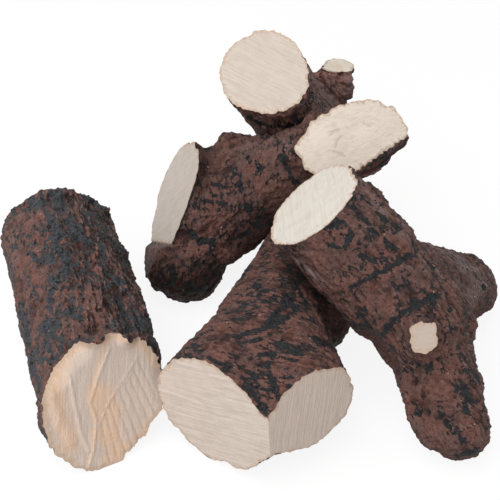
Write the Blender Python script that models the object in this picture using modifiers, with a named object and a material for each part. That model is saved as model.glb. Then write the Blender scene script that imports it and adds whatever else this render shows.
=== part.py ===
"""Ceramic log set for a hearth: five cast logs, stacked as they lie on the fire.

Metres, +Z up, the hearth at z = 0. Each log is one casting: round limbs run together into a
blank, the bark is given its lumps, the sawn faces are cut flat and the underside is trimmed
flat where the log stands. A log that leans is then turned until it rests on the logs below.
"""

import math

import bmesh
import bpy
from mathutils import Matrix, Vector
from mathutils.bvhtree import BVHTree

MM = 0.001

# Casting, the same for every log
FACET = 6.2 * MM
WELD_SHARE = 0.001
BLEND_PASSES = 8
BLEND_SHARE = 0.5
DOME_STEPS = 4
LIMB_SIDE_STEPS = 6
LUMP_HEIGHT = 3.6 * MM
LUMP_SPACING = 16 * MM
LUMP_STRETCH = 2.2
FOOT_TRIM = 1.5 * MM

# Saw cuts: how deep a cutter reaches, and how far past the limb's own width it spreads
CUTTER_DEPTH = 120 * MM
CUTTER_SPREAD_SHARE = 2.0
CUTTER_SIDES = 32
TRIM_SPAN = 700 * MM

# Stacking: logs that touch keep a gap, and slide or lean no further than this to find it
SEAT_GAP = 0.3 * MM
SLIDE_LIMIT = 70 * MM
LEAN_LIMIT = 25
SETTLE_STEPS = 24

# Painted finishes
BARK_COLOUR = (0.13, 0.06, 0.045)
BARK_ROUGHNESS = 0.8
SAWN_COLOUR = (0.75, 0.66, 0.57)
SAWN_ROUGHNESS = 0.85

# Left log: straight, its front end split off rough, its underside level
LEFT_X = -80 * MM
LEFT_Y = -116 * MM
LEFT_LENGTH = 152 * MM
LEFT_FRONT_DIAMETER = 70 * MM
LEFT_BACK_DIAMETER = 76 * MM
LEFT_TURN = 108
LEFT_RISE = math.degrees(math.asin((LEFT_BACK_DIAMETER - LEFT_FRONT_DIAMETER) / 2 / LEFT_LENGTH))
LEFT_SPLIT_TURN = -62
LEFT_SPLIT_RISE = 25
LEFT_RIB_DIAMETER = 24 * MM
LEFT_RIB_OFFSET = 25 * MM
LEFT_RIB_TURN = LEFT_TURN - 90
LEFT_RIB_RISE = 25

# Front log: thick, with two sawn stubs at its fork
FRONT_X = 10 * MM
FRONT_Y = -78 * MM
FRONT_TRUNK_LENGTH = 102 * MM
FRONT_TRUNK_DIAMETER = 73 * MM
FRONT_TRUNK_BACK_DIAMETER = 58 * MM
FRONT_TRUNK_TURN = 73
FRONT_TRUNK_RISE = -3.5
FRONT_LEFT_STUB_LENGTH = 58 * MM
FRONT_LEFT_STUB_DIAMETER = 73 * MM
FRONT_LEFT_STUB_TURN = -122
FRONT_LEFT_STUB_RISE = 0
FRONT_LEFT_FACE_TURN = -124.5
FRONT_LEFT_FACE_RISE = 3
FRONT_RIGHT_STUB_LENGTH = 58 * MM
FRONT_RIGHT_STUB_DIAMETER = 44 * MM
FRONT_RIGHT_STUB_TURN = -68.5
FRONT_RIGHT_STUB_RISE = 10
FRONT_RIGHT_FACE_TURN = -57
FRONT_RIGHT_FACE_RISE = 8.5

# Back log: a short foot, an elbow sawn on its left, and a trunk that rises to the right
BACK_X = -34 * MM
BACK_Y = 36 * MM
BACK_FOOT_LENGTH = 31 * MM
BACK_FOOT_DIAMETER = 50 * MM
BACK_FOOT_TURN = -108
BACK_FOOT_RISE = -36
BACK_ELBOW_DIAMETER = 66 * MM
BACK_INNER_LENGTH = 60 * MM
BACK_MIDDLE_DIAMETER = 52 * MM
BACK_END_DIAMETER = 46 * MM
BACK_INNER_TURN = 21
BACK_INNER_RISE = 22
BACK_OUTER_LENGTH = 61 * MM
BACK_OUTER_TURN = -9
BACK_OUTER_RISE = 34
BACK_END_FACE_TURN = -76
BACK_END_FACE_RISE = 39
BACK_STUB_LENGTH = 25 * MM
BACK_STUB_DIAMETER = 76 * MM
BACK_STUB_TURN = 153
BACK_STUB_RISE = 35
BACK_STUB_FACE_TURN = -176
BACK_STUB_FACE_RISE = 24.5
BACK_SHOULDER_LENGTH = 51 * MM
BACK_SHOULDER_DIAMETER = 30 * MM
BACK_SHOULDER_TURN = 51
BACK_SHOULDER_RISE = 43

# Top log: leans on the back log, with a thin sawn stub
TOP_X = 53 * MM
TOP_Y = 132 * MM
TOP_LENGTH = 120 * MM
TOP_FACE_DIAMETER = 59 * MM
TOP_FOOT_DIAMETER = 52 * MM
TOP_TURN = -132
TOP_RISE = 55
TOP_FACE_TURN = -105
TOP_FACE_RISE = 48
TOP_STUB_ROOT_SHARE = 0.22
TOP_STUB_LENGTH = 65 * MM
TOP_STUB_ROOT_DIAMETER = 39 * MM
TOP_STUB_DIAMETER = 21 * MM
TOP_STUB_TURN = 8
TOP_STUB_RISE = 74.5
TOP_STUB_FACE_TURN = 0
TOP_STUB_FACE_RISE = 87

# Right log: a trunk sawn at its top, a leg, a side branch and a sawn knot
RIGHT_X = 96 * MM
RIGHT_Y = -74 * MM
RIGHT_TRUNK_LENGTH = 90 * MM
RIGHT_TRUNK_FACE_DIAMETER = 60 * MM
RIGHT_JOINT_DIAMETER = 65 * MM
RIGHT_TRUNK_TURN = 147
RIGHT_TRUNK_RISE = 36.5
RIGHT_FACE_TURN = 174
RIGHT_FACE_RISE = 49.5
RIGHT_LEG_LENGTH = 58 * MM
RIGHT_LEG_ROOT_DIAMETER = 48 * MM
RIGHT_LEG_DIAMETER = 43 * MM
RIGHT_LEG_TURN = -71
RIGHT_LEG_RISE = -32.5
RIGHT_BRANCH_LENGTH = 93 * MM
RIGHT_BRANCH_ROOT_SHARE = 0.33
RIGHT_BRANCH_ROOT_DIAMETER = 60 * MM
RIGHT_BRANCH_DIAMETER = 43 * MM
RIGHT_BRANCH_TURN = 41
RIGHT_BRANCH_RISE = -29.5
RIGHT_KNOT_LENGTH = 43 * MM
RIGHT_KNOT_ROOT_DIAMETER = 26 * MM
RIGHT_KNOT_DIAMETER = 18 * MM
RIGHT_KNOT_TURN = -101.5
RIGHT_KNOT_RISE = 33
RIGHT_KNOT_FACE_TURN = -80
RIGHT_KNOT_FACE_RISE = 36


def direction(turn, rise=0.0):
    """Unit vector: turn is the compass angle from +X, rise the angle above the hearth."""
    turn, rise = math.radians(turn), math.radians(rise)
    return Vector((math.cos(rise) * math.cos(turn), math.cos(rise) * math.sin(turn), math.sin(rise)))


class Limb:
    """A round, tapering length of wood with domed ends, in its log's own frame.

    An end that is sawn off later runs on past its place, so that the cut meets its full width.
    """

    def __init__(
        self, root, turn, rise, length, root_diameter, tip_diameter, tip_sawn=False, root_sawn=False
    ):
        self.root = root
        self.along = direction(turn, rise)
        self.length = length
        self.root_radius = root_diameter / 2
        self.tip_radius = tip_diameter / 2
        self.root_spare = self.root_radius if root_sawn else 0.0
        self.tip_spare = self.tip_radius if tip_sawn else 0.0

    def at(self, share):
        """A point on the centre line, 0 at the root and 1 at the tip."""
        return self.root + self.along * self.length * share

    def rings(self):
        """(point, radius) pairs along the centre line, from dome to dome."""
        start = self.at(0) - self.along * self.root_spare
        end = self.at(1) + self.along * self.tip_spare
        root_dome = []
        tip_dome = []
        for step in range(1, DOME_STEPS + 1):
            angle = math.pi / 2 * step / DOME_STEPS
            inset, width = math.cos(angle), math.sin(angle)
            root_dome.append((start - self.along * self.root_radius * inset, self.root_radius * width))
            tip_dome.append((end + self.along * self.tip_radius * inset, self.tip_radius * width))
        return root_dome + tip_dome[::-1]


def clear_scene():
    for obj in list(bpy.data.objects):
        bpy.data.objects.remove(obj, do_unlink=True)


def new_collection(name):
    made = bpy.data.collections.new(name)
    bpy.context.scene.collection.children.link(made)
    return made


def material(name, colour, roughness):
    made = bpy.data.materials.new(name)
    made.use_nodes = True
    shader = made.node_tree.nodes["Principled BSDF"]
    shader.inputs["Base Color"].default_value = (*colour, 1.0)
    shader.inputs["Roughness"].default_value = roughness
    shader.inputs["Metallic"].default_value = 0.0
    return made


class Workshop:
    """Where the logs and their cutters are kept, and the two paints that every log has."""

    def __init__(self):
        self.logs = new_collection("ceramic_log_set")
        self.helpers = new_collection("cutters")
        self.bark = material("painted_bark", BARK_COLOUR, BARK_ROUGHNESS)
        self.sawn = material("painted_sawn_wood", SAWN_COLOUR, SAWN_ROUGHNESS)

    def paint(self, mesh, all_sawn=False):
        """Gives a mesh both paints. A saw's faces pass the second one on to the faces they cut."""
        mesh.materials.append(self.bark)
        mesh.materials.append(self.sawn)
        for face in mesh.polygons:
            face.material_index = 1 if all_sawn else 0

    def keep_as_cutter(self, obj, name):
        obj.name = name
        for holder in list(obj.users_collection):
            holder.objects.unlink(obj)
        self.helpers.objects.link(obj)
        obj.hide_render = True
        obj.display_type = "WIRE"


def limb_mesh(limb):
    """The limb as a closed mesh, from a bevelled curve whose point radii give the taper and domes."""
    data = bpy.data.curves.new("limb", "CURVE")
    data.dimensions = "3D"
    data.bevel_depth = max(limb.root_radius, limb.tip_radius)
    data.bevel_resolution = LIMB_SIDE_STEPS
    data.use_fill_caps = True
    rings = limb.rings()
    spline = data.splines.new("POLY")
    spline.points.add(len(rings) - 1)
    for point, (place, radius) in zip(spline.points, rings):
        point.co = (*place, 1.0)
        point.radius = radius / data.bevel_depth
    curve = bpy.data.objects.new("limb", data)
    bpy.context.scene.collection.objects.link(curve)
    bpy.context.view_layer.update()
    mesh = bpy.data.meshes.new_from_object(curve.evaluated_get(bpy.context.evaluated_depsgraph_get()))
    bpy.data.objects.remove(curve)
    return mesh


def blank(name, limbs, workshop):
    """One object that holds every limb of a log, run together by a Remesh and blended by a Smooth."""
    joined = bmesh.new()
    for limb in limbs:
        mesh = limb_mesh(limb)
        joined.from_mesh(mesh)
        bpy.data.meshes.remove(mesh)
    bmesh.ops.remove_doubles(joined, verts=joined.verts, dist=FACET * WELD_SHARE)
    data = bpy.data.meshes.new(name)
    joined.to_mesh(data)
    joined.free()
    workshop.paint(data)
    obj = bpy.data.objects.new(name, data)
    workshop.logs.objects.link(obj)
    run_together = obj.modifiers.new("run_together", "REMESH")
    run_together.mode = "VOXEL"
    run_together.voxel_size = FACET
    run_together.use_smooth_shade = True
    soften = obj.modifiers.new("soften_forks", "SMOOTH")
    soften.factor = BLEND_SHARE
    soften.iterations = BLEND_PASSES
    return obj


def add_lumps(obj, limb, workshop):
    """Broad lumps in the bark, drawn out along the limb that the grain follows."""
    grain = bpy.data.objects.new(obj.name + "_grain", None)
    workshop.helpers.objects.link(grain)
    grain.rotation_mode = "QUATERNION"
    grain.rotation_quaternion = limb.along.to_track_quat("X", "Z")
    grain.scale = (LUMP_STRETCH, 1, 1)
    grain.parent = obj
    texture = bpy.data.textures.new(obj.name + "_lumps", "CLOUDS")
    texture.noise_scale = LUMP_SPACING
    texture.noise_depth = 1
    lumps = obj.modifiers.new("lumps", "DISPLACE")
    lumps.texture = texture
    lumps.texture_coords = "OBJECT"
    lumps.texture_coords_object = grain
    lumps.strength = LUMP_HEIGHT
    lumps.mid_level = 0.5


def saw(obj, limb, turn, rise, workshop, share=1):
    """Cuts the log flat across a limb, at its tip or at a share of its length.

    The face that is left looks along turn and rise.
    """
    outward = direction(turn, rise)
    reach = limb.tip_radius / abs(limb.along.dot(outward)) * CUTTER_SPREAD_SHARE
    bpy.ops.mesh.primitive_cylinder_add(vertices=CUTTER_SIDES, radius=reach, depth=CUTTER_DEPTH)
    cutter = bpy.context.active_object
    workshop.paint(cutter.data, all_sawn=True)
    workshop.keep_as_cutter(cutter, obj.name + "_saw")
    cutter.parent = obj
    cutter.rotation_mode = "QUATERNION"
    cutter.rotation_quaternion = outward.to_track_quat("Z", "X")
    cutter.location = limb.at(share) + outward * CUTTER_DEPTH / 2
    cut_away(obj, cutter, "saw")


def cut_away(obj, cutter, name, solver="EXACT"):
    cut = obj.modifiers.new(name, "BOOLEAN")
    cut.operation = "DIFFERENCE"
    cut.solver = solver
    cut.object = cutter


def left_log(workshop):
    trunk = Limb(
        Vector(), LEFT_TURN, LEFT_RISE, LEFT_LENGTH,
        LEFT_FRONT_DIAMETER, LEFT_BACK_DIAMETER, tip_sawn=True, root_sawn=True,
    )
    side = direction(LEFT_RIB_TURN, LEFT_RIB_RISE) * LEFT_RIB_OFFSET
    rib = Limb(
        side, LEFT_TURN, LEFT_RISE, LEFT_LENGTH,
        LEFT_RIB_DIAMETER, LEFT_RIB_DIAMETER, tip_sawn=True, root_sawn=True,
    )
    obj = blank("left_split_log", [trunk, rib], workshop)
    add_lumps(obj, trunk, workshop)
    saw(obj, trunk, LEFT_SPLIT_TURN, LEFT_SPLIT_RISE, workshop, share=0)
    saw(obj, trunk, LEFT_TURN, LEFT_RISE, workshop)
    return obj


def front_log(workshop):
    trunk = Limb(
        Vector(), FRONT_TRUNK_TURN, FRONT_TRUNK_RISE, FRONT_TRUNK_LENGTH,
        FRONT_TRUNK_DIAMETER, FRONT_TRUNK_BACK_DIAMETER, tip_sawn=True,
    )
    left = Limb(
        Vector(), FRONT_LEFT_STUB_TURN, FRONT_LEFT_STUB_RISE, FRONT_LEFT_STUB_LENGTH,
        FRONT_TRUNK_DIAMETER, FRONT_LEFT_STUB_DIAMETER, tip_sawn=True,
    )
    right = Limb(
        Vector(), FRONT_RIGHT_STUB_TURN, FRONT_RIGHT_STUB_RISE, FRONT_RIGHT_STUB_LENGTH,
        FRONT_TRUNK_DIAMETER, FRONT_RIGHT_STUB_DIAMETER, tip_sawn=True,
    )
    obj = blank("front_forked_log", [trunk, left, right], workshop)
    add_lumps(obj, trunk, workshop)
    saw(obj, trunk, FRONT_TRUNK_TURN, FRONT_TRUNK_RISE, workshop)
    saw(obj, left, FRONT_LEFT_FACE_TURN, FRONT_LEFT_FACE_RISE, workshop)
    saw(obj, right, FRONT_RIGHT_FACE_TURN, FRONT_RIGHT_FACE_RISE, workshop)
    return obj


def back_log(workshop):
    foot = Limb(
        Vector(), BACK_FOOT_TURN, BACK_FOOT_RISE, BACK_FOOT_LENGTH,
        BACK_ELBOW_DIAMETER, BACK_FOOT_DIAMETER,
    )
    inner = Limb(
        Vector(), BACK_INNER_TURN, BACK_INNER_RISE, BACK_INNER_LENGTH,
        BACK_ELBOW_DIAMETER, BACK_MIDDLE_DIAMETER,
    )
    outer = Limb(
        inner.at(1), BACK_OUTER_TURN, BACK_OUTER_RISE, BACK_OUTER_LENGTH,
        BACK_MIDDLE_DIAMETER, BACK_END_DIAMETER, tip_sawn=True,
    )
    stub = Limb(
        Vector(), BACK_STUB_TURN, BACK_STUB_RISE, BACK_STUB_LENGTH,
        BACK_ELBOW_DIAMETER, BACK_STUB_DIAMETER, tip_sawn=True,
    )
    shoulder = Limb(
        Vector(), BACK_SHOULDER_TURN, BACK_SHOULDER_RISE, BACK_SHOULDER_LENGTH,
        BACK_SHOULDER_DIAMETER, BACK_SHOULDER_DIAMETER,
    )
    obj = blank("back_crooked_log", [foot, inner, outer, stub, shoulder], workshop)
    add_lumps(obj, inner, workshop)
    saw(obj, outer, BACK_END_FACE_TURN, BACK_END_FACE_RISE, workshop)
    saw(obj, stub, BACK_STUB_FACE_TURN, BACK_STUB_FACE_RISE, workshop)
    return obj


def top_log(workshop):
    trunk = Limb(
        Vector(), TOP_TURN, TOP_RISE, TOP_LENGTH,
        TOP_FOOT_DIAMETER, TOP_FACE_DIAMETER, tip_sawn=True,
    )
    stub = Limb(
        trunk.at(TOP_STUB_ROOT_SHARE), TOP_STUB_TURN, TOP_STUB_RISE, TOP_STUB_LENGTH,
        TOP_STUB_ROOT_DIAMETER, TOP_STUB_DIAMETER, tip_sawn=True,
    )
    obj = blank("top_leaning_log", [trunk, stub], workshop)
    add_lumps(obj, trunk, workshop)
    saw(obj, trunk, TOP_FACE_TURN, TOP_FACE_RISE, workshop)
    saw(obj, stub, TOP_STUB_FACE_TURN, TOP_STUB_FACE_RISE, workshop)
    return obj


def right_log(workshop):
    trunk = Limb(
        Vector(), RIGHT_TRUNK_TURN, RIGHT_TRUNK_RISE, RIGHT_TRUNK_LENGTH,
        RIGHT_JOINT_DIAMETER, RIGHT_TRUNK_FACE_DIAMETER, tip_sawn=True,
    )
    leg = Limb(
        Vector(), RIGHT_LEG_TURN, RIGHT_LEG_RISE, RIGHT_LEG_LENGTH,
        RIGHT_LEG_ROOT_DIAMETER, RIGHT_LEG_DIAMETER,
    )
    branch = Limb(
        trunk.at(RIGHT_BRANCH_ROOT_SHARE), RIGHT_BRANCH_TURN, RIGHT_BRANCH_RISE, RIGHT_BRANCH_LENGTH,
        RIGHT_BRANCH_ROOT_DIAMETER, RIGHT_BRANCH_DIAMETER,
    )
    knot = Limb(
        Vector(), RIGHT_KNOT_TURN, RIGHT_KNOT_RISE, RIGHT_KNOT_LENGTH,
        RIGHT_KNOT_ROOT_DIAMETER, RIGHT_KNOT_DIAMETER, tip_sawn=True,
    )
    obj = blank("right_branched_log", [trunk, leg, branch, knot], workshop)
    add_lumps(obj, trunk, workshop)
    saw(obj, trunk, RIGHT_FACE_TURN, RIGHT_FACE_RISE, workshop)
    saw(obj, knot, RIGHT_KNOT_FACE_TURN, RIGHT_KNOT_FACE_RISE, workshop)
    return obj


def shape_of(obj):
    """(points, triangles) of the finished log in its own frame."""
    bpy.context.view_layer.update()
    evaluated = obj.evaluated_get(bpy.context.evaluated_depsgraph_get())
    mesh = evaluated.to_mesh()
    mesh.calc_loop_triangles()
    points = [vertex.co.copy() for vertex in mesh.vertices]
    triangles = [tuple(triangle.vertices) for triangle in mesh.loop_triangles]
    evaluated.to_mesh_clear()
    return points, triangles


class Placed:
    """A log's shape at a place, for measuring the room between logs."""

    def __init__(self, points, triangles, matrix):
        self.points = [matrix @ point for point in points]
        self.tree = BVHTree.FromPolygons(self.points, triangles)

    def clear_of(self, other):
        """Whether the two don't cross and no corner of one is within the seat gap of the other."""
        if self.tree.overlap(other.tree):
            return False
        for points, tree in ((self.points, other.tree), (other.points, self.tree)):
            for point in points:
                if tree.find_nearest(point, SEAT_GAP)[0] is not None:
                    return False
        return True


def standing(points, x, y, turned):
    """The matrix that stands a turned log on the hearth, with its own origin over x, y."""
    lowest = min((turned @ point).z for point in points)
    return Matrix.Translation((x, y, -lowest - FOOT_TRIM)) @ turned


def settle(obj, move, inside, clear, others):
    """Moves a log from inside the others towards a clear place, until it only just clears them."""
    points, triangles = shape_of(obj)
    for _ in range(SETTLE_STEPS):
        middle = (inside + clear) / 2
        placed = Placed(points, triangles, move(points, middle))
        if all(placed.clear_of(other) for other in others):
            clear = middle
        else:
            inside = middle
    obj.matrix_world = move(points, clear)
    return Placed(points, triangles, obj.matrix_world)


def stand(obj, x, y):
    points, triangles = shape_of(obj)
    obj.matrix_world = standing(points, x, y, Matrix())
    return Placed(points, triangles, obj.matrix_world)


def slide_against(obj, x, y, others):
    """Slides a standing log along +X, from clear of the others until it meets them."""

    def move(points, shift):
        return standing(points, x + shift, y, Matrix())

    return settle(obj, move, SLIDE_LIMIT, -SLIDE_LIMIT, others)


def lean_on(obj, x, y, turn, others):
    """Tips a log about its own origin, its raised end on the turn side, until it rests on the others."""
    axis = direction(turn).cross(Vector((0, 0, 1)))
    limit = math.radians(LEAN_LIMIT)

    def move(points, angle):
        return standing(points, x, y, Matrix.Rotation(angle, 4, axis))

    return settle(obj, move, -limit, limit, others)


def centre_on_origin(placed):
    """Moves every log alike, so that the middle of the set's outline stands over the origin."""
    points = [point for one in placed.values() for point in one.points]
    middle = Vector((
        (min(p.x for p in points) + max(p.x for p in points)) / 2,
        (min(p.y for p in points) + max(p.y for p in points)) / 2,
        0,
    ))
    for obj in placed:
        obj.matrix_world = Matrix.Translation(-middle) @ obj.matrix_world


def trim_feet(logs, workshop):
    """Cuts every log flat where it stands on the hearth.

    The slab grazes a log in a thin sliver, which the exact solver can get wrong.
    """
    bpy.ops.mesh.primitive_cube_add(size=1)
    slab = bpy.context.active_object
    workshop.paint(slab.data)
    workshop.keep_as_cutter(slab, "hearth_trim")
    slab.scale = (TRIM_SPAN, TRIM_SPAN, CUTTER_DEPTH)
    slab.location = (0, 0, -CUTTER_DEPTH / 2)
    for obj in logs:
        cut_away(obj, slab, "foot_trim", solver="MANIFOLD")


def main():
    clear_scene()
    workshop = Workshop()
    front = front_log(workshop)
    left = left_log(workshop)
    back = back_log(workshop)
    right = right_log(workshop)
    top = top_log(workshop)
    placed = {}
    placed[front] = stand(front, FRONT_X, FRONT_Y)
    placed[left] = slide_against(left, LEFT_X, LEFT_Y, [placed[front]])
    placed[back] = lean_on(back, BACK_X, BACK_Y, BACK_INNER_TURN, [placed[front]])
    placed[right] = lean_on(right, RIGHT_X, RIGHT_Y, RIGHT_TRUNK_TURN, [placed[front], placed[back]])
    placed[top] = lean_on(top, TOP_X, TOP_Y, TOP_TURN, [placed[back], placed[right]])
    centre_on_origin(placed)
    trim_feet(placed, workshop)


main()
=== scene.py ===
"""Dresses the ceramic log set: bark, sawn faces and paint on each cast log, and a plain studio.

Metres, +Z up, the hearth at z = 0. Each log starts as a copy of its plain casting. It is smoothed,
its bark is embossed, and its faces are then sawn again with a slab whose near side carries the
saw marks, so that bark and sawn wood meet in the ragged edge that a real cut leaves. Marks in one
place, such as a charred patch, a crack, and patches of painted shade and painted light, are
strokes given by pixels of the camera's 500 by 500 frame, and lie on the surface that the camera
sees there.
"""

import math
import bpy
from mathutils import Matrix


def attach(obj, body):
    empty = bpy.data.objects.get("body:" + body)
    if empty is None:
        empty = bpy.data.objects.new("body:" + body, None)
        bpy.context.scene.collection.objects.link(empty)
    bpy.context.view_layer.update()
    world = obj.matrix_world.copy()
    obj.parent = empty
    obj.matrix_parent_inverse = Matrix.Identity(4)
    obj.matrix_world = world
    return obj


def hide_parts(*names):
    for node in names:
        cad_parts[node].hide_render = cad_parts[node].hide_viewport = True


bl_info = {
    "name": "Ceramic Log Set",
    "version": (1, 0, 0),
    "blender": (4, 5, 0),
    "location": "3D View > Sidebar > Logs",
    "description": "Models and paints a stack of cast ceramic logs",
    "category": "Object",
}

from contextlib import contextmanager
from functools import partialmethod

import bpy
import numpy as np
from bpy.props import FloatProperty, FloatVectorProperty, IntProperty, PointerProperty
from mathutils import Matrix, Vector
from mathutils.bvhtree import BVHTree
from mathutils.kdtree import KDTree

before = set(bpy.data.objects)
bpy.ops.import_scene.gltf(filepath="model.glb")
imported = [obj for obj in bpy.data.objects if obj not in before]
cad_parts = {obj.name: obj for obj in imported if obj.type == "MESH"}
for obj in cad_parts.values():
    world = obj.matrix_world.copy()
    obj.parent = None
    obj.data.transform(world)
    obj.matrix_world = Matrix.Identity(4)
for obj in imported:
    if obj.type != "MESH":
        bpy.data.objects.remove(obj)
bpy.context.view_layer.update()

MM = 0.001
UP = Vector((0, 0, 1))
BARK, SAWN, STUB = 0, 1, 2
WELD = 0.01 * MM
WEIGHT_STEPS = 20
FRAME_SIDE = 500
STROKE_PIXELS = 2
SENSOR_WIDTH = 36.0


def direction(turn, rise=0.0):
    """Unit vector: turn is the compass angle from +X, rise the angle above the hearth."""
    turn, rise = math.radians(turn), math.radians(rise)
    return Vector((math.cos(rise) * math.cos(turn), math.cos(rise) * math.sin(turn), math.sin(rise)))


# Sizes and colours that a user would change

def number(name, description, default, **limits):
    return FloatProperty(name=name, description=description, default=default, **limits)


def length(name, description, default, **limits):
    return number(name, description, default, unit="LENGTH", **limits)


def colour(name, description, *parts):
    return FloatVectorProperty(
        name=name, description=description, subtype="COLOR", size=4, min=0, max=1, default=(*parts, 1))


class CastingSettings(bpy.types.PropertyGroup):
    """How finely the logs are cast and how deep their bark is."""

    rough_grid: length("Rough grid", "Grid on which the plain casting is smoothed", 2 * MM, min=0.5 * MM)
    fine_grid: length("Fine grid", "Grid that carries the bark", 0.8 * MM, min=0.5 * MM)
    smoothing: IntProperty(
        name="Smoothing", description="Passes that melt the plain casting's facets", default=10, min=0)
    lump_height: length("Lump height", "Height of the bark's broad lumps", 3.6 * MM)
    ridge_height: length("Ridge height", "Height of the ridges that run along the grain", 2 * MM)
    crumb_height: length("Crumb height", "Height of the bark's small crumbs", 2.8 * MM)
    overrun: length("Overrun", "How far a log runs on past its sawn face before it is cut", 14 * MM)


class BarkSettings(bpy.types.PropertyGroup):
    """The paint on the bark."""

    warm: colour("Warm brown", "Red-brown of the smooth bark", 0.190, 0.087, 0.068)
    dull: colour("Dull brown", "Greyer brown between the warm patches", 0.138, 0.074, 0.063)
    dusty: colour("Dusty brown", "Pale brown brushed over the crests", 0.26, 0.170, 0.155)
    # The hollow brown also serves as painted shade: in the bark's sunk hollows, in the creases of the
    # weathered side, on undersides and in marked places.
    hollow: colour("Hollow brown", "Dark brown left in the hollows", 0.035, 0.013, 0.009)
    # This black also serves as painted shade: in the pockets of the weathered side, and in charred patches
    # where painted shade lies.
    soot_and_shade: colour("Soot", "Black at the rim of a charred patch", 0.009, 0.0085, 0.009)
    # The pale also serves as painted highlights, in lines along the weathered side's ridges, and as painted
    # light where marked.
    pale: colour("Pale streaks", "Grey-pink lines along the weathered side", 0.33, 0.25, 0.235)
    ash: colour("Ash blue", "Blue-grey inside a charred patch", 0.050, 0.055, 0.061)
    speck: colour("Specks", "Small pale chips in the paint", 0.55, 0.40, 0.33)
    patch_size: length("Patch size", "Spacing of the charred patches", 3.8 * MM)
    fleck_size: length("Fleck size", "Spacing of the small flecks", 1.9 * MM)
    roughness: number("Roughness", "Sheen of the bark paint", 0.62, min=0, max=1)


class SawnSettings(bpy.types.PropertyGroup):
    """The paint on the sawn faces."""

    cream: colour("Cream", "Main colour of the sawn wood", 0.80, 0.70, 0.61)
    # The shade also serves as painted shade where a sawn face sinks below its cut.
    shade: colour("Shade", "Colour in the saw marks", 0.66, 0.545, 0.46)
    tan: colour("Tan", "Warm tan brushed over parts of a split face", 0.84, 0.58, 0.41)
    rim: colour("Rim", "Tan at the edge, where the bark paint was wiped", 0.66, 0.47, 0.34)
    pore: colour("Pores", "Small dark holes in the sawn wood", 0.25, 0.15, 0.11)
    rim_width: length("Rim width", "Width of the tan edge", 1.6 * MM)
    roughness: number("Roughness", "Sheen of the sawn faces' paint", 0.75, min=0, max=1)


class StudioSettings(bpy.types.PropertyGroup):
    """The camera and the lamps."""

    pitch: number("Camera pitch", "How far the camera looks down", math.radians(38), subtype="ANGLE")
    distance: length("Camera distance", "From the camera to its target", 600 * MM)
    target: FloatVectorProperty(
        name="Camera target", description="The point that the camera looks at", subtype="XYZ", size=3,
        unit="LENGTH", default=(1.4 * MM, -3.84 * MM, 45 * MM))
    lens: number("Lens", "Focal length in millimetres", 69.48)
    key_power: number("Key lamp", "Power of the large lamp over the front left", 9.6, subtype="POWER")
    fill_power: number("Fill lamp", "Power of the weak lamp in front", 4.0, subtype="POWER")
    sky: number("Sky", "Strength of the light from all round", 0.40, min=0)


# Small tools of the bench

def select_only(obj):
    bpy.ops.object.select_all(action="DESELECT")
    obj.select_set(True)
    bpy.context.view_layer.objects.active = obj


@contextmanager
def editing(obj, faces=()):
    """Edit mode on one object, with only the faces numbered in faces selected."""
    select_only(obj)
    mesh = obj.data
    for elements, numbers in ((mesh.vertices, ()), (mesh.edges, ()), (mesh.polygons, faces)):
        chosen = np.zeros(len(elements), bool)
        chosen[np.array(numbers, int)] = True
        elements.foreach_set("select", chosen)
    bpy.ops.object.mode_set(mode="EDIT")
    bpy.ops.mesh.select_mode(type="FACE")
    try:
        yield
    finally:
        bpy.ops.object.mode_set(mode="OBJECT")


def apply_modifier(obj, kind, **settings):
    modifier = obj.modifiers.new(kind.lower(), kind)
    for key, value in settings.items():
        setattr(modifier, key, value)
    select_only(obj)
    bpy.ops.object.modifier_apply(modifier=modifier.name)


def add(name, data):
    obj = bpy.data.objects.new(name, data)
    bpy.context.scene.collection.objects.link(obj)
    return obj


def remove(obj):
    mesh = obj.data
    bpy.data.objects.remove(obj)
    bpy.data.meshes.remove(mesh)


def read_points(obj, what="co"):
    flat = np.empty(len(obj.data.vertices) * 3)
    obj.data.vertices.foreach_get(what, flat)
    return flat.reshape(-1, 3)


def push(obj, outward, heights):
    """Moves each point of an object outwards by its own height."""
    points = read_points(obj) + np.asarray(outward) * np.asarray(heights)[:, None]
    obj.data.vertices.foreach_set("co", points.ravel())
    obj.data.update()


def surface_of(obj):
    points = [point.co for point in obj.data.vertices]
    return BVHTree.FromPolygons(points, [face.vertices for face in obj.data.polygons])


def emboss(obj, spacing, height, along, stretch, hard=False, depth=2, middle=0.5, group="", way="NORMAL"):
    """Raises and sinks the surface by a cloudy pattern, drawn out along one direction."""
    texture = bpy.data.textures.new("relief", "CLOUDS")
    texture.noise_scale = 1.0
    texture.noise_depth = depth
    texture.noise_type = "HARD_NOISE" if hard else "SOFT_NOISE"
    grain = add("grain", None)
    grain.rotation_mode = "QUATERNION"
    grain.rotation_quaternion = along.to_track_quat("X", "Z")
    grain.scale = (spacing * stretch, spacing, spacing)
    bpy.context.view_layer.update()
    apply_modifier(
        obj, "DISPLACE", texture=texture, texture_coords="OBJECT", texture_coords_object=grain,
        strength=height, mid_level=middle, direction=way, vertex_group=group)
    bpy.data.objects.remove(grain)
    bpy.data.textures.remove(texture)


def smooth_step(value, low, high):
    share = np.clip((value - low) / (high - low), 0, 1)
    return share * share * (3 - 2 * share)


def weigh(obj, name, weights):
    """A vertex group whose weights are given point by point, rounded to a few steps."""
    group = obj.vertex_groups.new(name=name)
    steps = np.round(np.asarray(weights) * WEIGHT_STEPS).astype(int)
    for step in range(1, WEIGHT_STEPS + 1):
        chosen = np.flatnonzero(steps == step)
        if len(chosen):
            group.add(chosen.tolist(), step / WEIGHT_STEPS, "REPLACE")


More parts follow.
